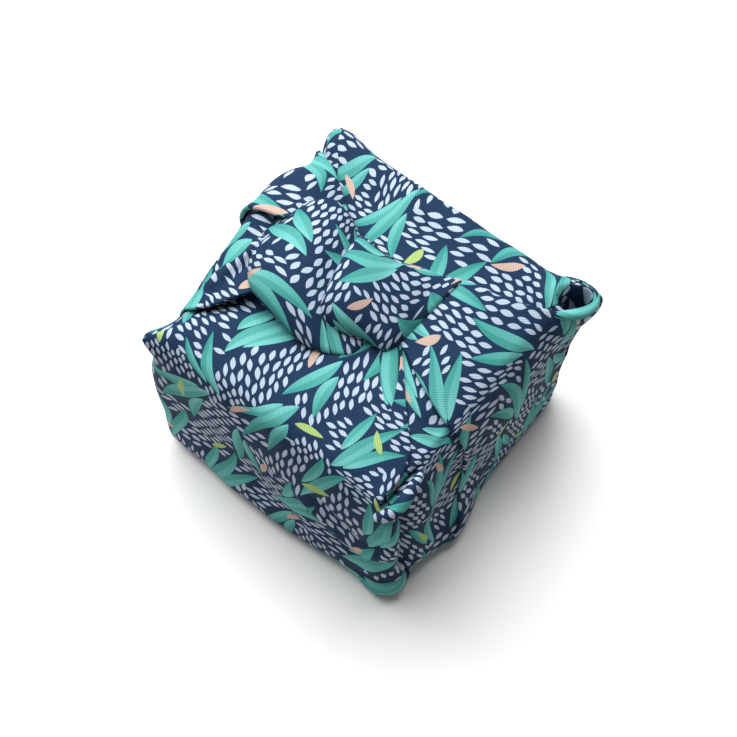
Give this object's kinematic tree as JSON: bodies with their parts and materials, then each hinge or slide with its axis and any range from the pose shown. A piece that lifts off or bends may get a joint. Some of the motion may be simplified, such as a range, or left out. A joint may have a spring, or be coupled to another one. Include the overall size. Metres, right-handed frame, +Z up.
{
  "type": "furoshiki gift wrap",
  "caption": "Square printed cotton wrapping cloth folded round a box-shaped space, its two free corners tied in a puffed knot on top and its other corners folded flat.",
  "frame": {"origin": "centre of the underside, on the surface the bundle stands on", "axes": "+Z up; the two tied corners rise from the +X and -X walls, the flat flaps from the +Y and -Y walls; the ear with the open mouth is at +X +Y"},
  "size_m": [0.1703, 0.1625, 0.1282],
  "materials": {
    "printed_cloth": "matt woven cotton with a small print"
  },
  "bodies": {
    "root": {"furoshiki_cloth": "printed_cloth"}
  },
  "joints": []
}
